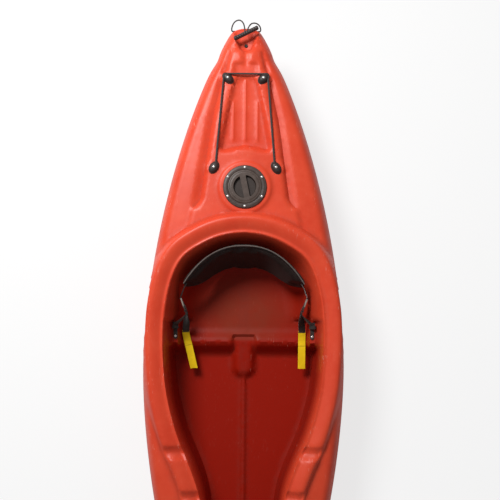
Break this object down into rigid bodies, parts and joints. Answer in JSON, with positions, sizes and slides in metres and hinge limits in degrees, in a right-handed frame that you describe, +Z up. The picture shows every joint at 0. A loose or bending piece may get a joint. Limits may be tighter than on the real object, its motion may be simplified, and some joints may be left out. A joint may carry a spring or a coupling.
{
  "type": "recreational kayak",
  "caption": "Short plastic sit-on-top recreational kayak with open cockpit, padded backrest, screw-in hatch, bungee storage well and carry handles.",
  "frame": {"origin": "on the ground under the middle of the boat, which stands on its bottom runners", "axes": "+X towards the bow, +Y to port, +Z up"},
  "size_m": [2.48, 0.71, 0.3102],
  "materials": {
    "hull_plastic": "rotomoulded polyethylene, soft sheen, tomato red",
    "fitting_plastic": "moulded, satin, near black",
    "seal_rubber": "matt",
    "screw_steel": "stainless, bright",
    "cord_sheath": "braided sheath",
    "webbing_black": "woven webbing",
    "webbing_yellow": "woven webbing with stitching",
    "pad_cloth": "coated nylon over foam",
    "piping_cloth": "woven binding, grey",
    "buckle_plastic": "moulded, grey brown"
  },
  "bodies": {
    "hull": {"anchor_screw_port": "screw_steel", "anchor_screw_starboard": "screw_steel", "anchor_strap_port": "webbing_black", "anchor_strap_starboard": "webbing_black", "bungee_cord": "cord_sheath", "deck_eye_front_port": "fitting_plastic", "deck_eye_front_starboard": "fitting_plastic", "deck_eye_rear_port": "fitting_plastic", "deck_eye_rear_starboard": "fitting_plastic", "deck_eye_screw_front_port": "screw_steel", "deck_eye_screw_front_starboard": "screw_steel", "deck_eye_screw_rear_port": "screw_steel", "deck_eye_screw_rear_starboard": "screw_steel", "hatch_frame": "fitting_plastic", "hatch_gasket": "seal_rubber", "hatch_screw_1": "screw_steel", "hatch_screw_2": "screw_steel", "hatch_screw_3": "screw_steel", "hatch_screw_4": "screw_steel", "hatch_screw_5": "screw_steel", "hatch_screw_6": "screw_steel", "hull": "hull_plastic", "pull_tab_port": "webbing_yellow", "pull_tab_starboard": "webbing_yellow", "strap_anchor_port": "fitting_plastic", "strap_anchor_starboard": "fitting_plastic", "strap_tail_port": "webbing_black", "strap_tail_starboard": "webbing_black"},
    "hatch_lid": {"hatch_lid": "fitting_plastic", "hatch_o_ring": "seal_rubber"},
    "bow_handle": {"bow_rope": "cord_sheath", "bow_toggle": "fitting_plastic"},
    "stern_handle": {"stern_rope": "cord_sheath", "stern_toggle": "fitting_plastic"},
    "drain_plug": {"drain_plug": "fitting_plastic"},
    "backrest": {"backrest_pad": "pad_cloth", "backrest_piping": "piping_cloth", "buckle_port": "buckle_plastic", "buckle_starboard": "buckle_plastic", "snap_hook_port": "fitting_plastic", "snap_hook_starboard": "fitting_plastic", "strap_stub_port": "webbing_black", "strap_stub_starboard": "webbing_black"}
  },
  "joints": [
    {"name": "hatch_lift", "type": "slide", "parent": "hull", "child": "hatch_lid", "axis": [0, 0, 1], "range_m": [0, 0.12]},
    {"name": "bow_handle_swing", "type": "hinge", "parent": "hull", "child": "bow_handle", "pos_m": [1.209, 0, 0.24], "axis": [0, 1, 0], "range_deg": [0, 95]},
    {"name": "stern_handle_swing", "type": "hinge", "parent": "hull", "child": "stern_handle", "pos_m": [-1.209, 0, 0.24], "axis": [0, -1, 0], "range_deg": [0, 95]},
    {"name": "drain_plug_pull", "type": "slide", "parent": "hull", "child": "drain_plug", "axis": [0, 0, 1], "range_m": [0, 0.02]},
    {"name": "backrest_recline", "type": "hinge", "parent": "hull", "child": "backrest", "pos_m": [-0.35, 0, 0.1], "axis": [0, 1, 0], "range_deg": [-4, 8], "deforming": ["anchor_strap_port", "anchor_strap_starboard", "strap_tail_port", "strap_tail_starboard"]}
  ]
}
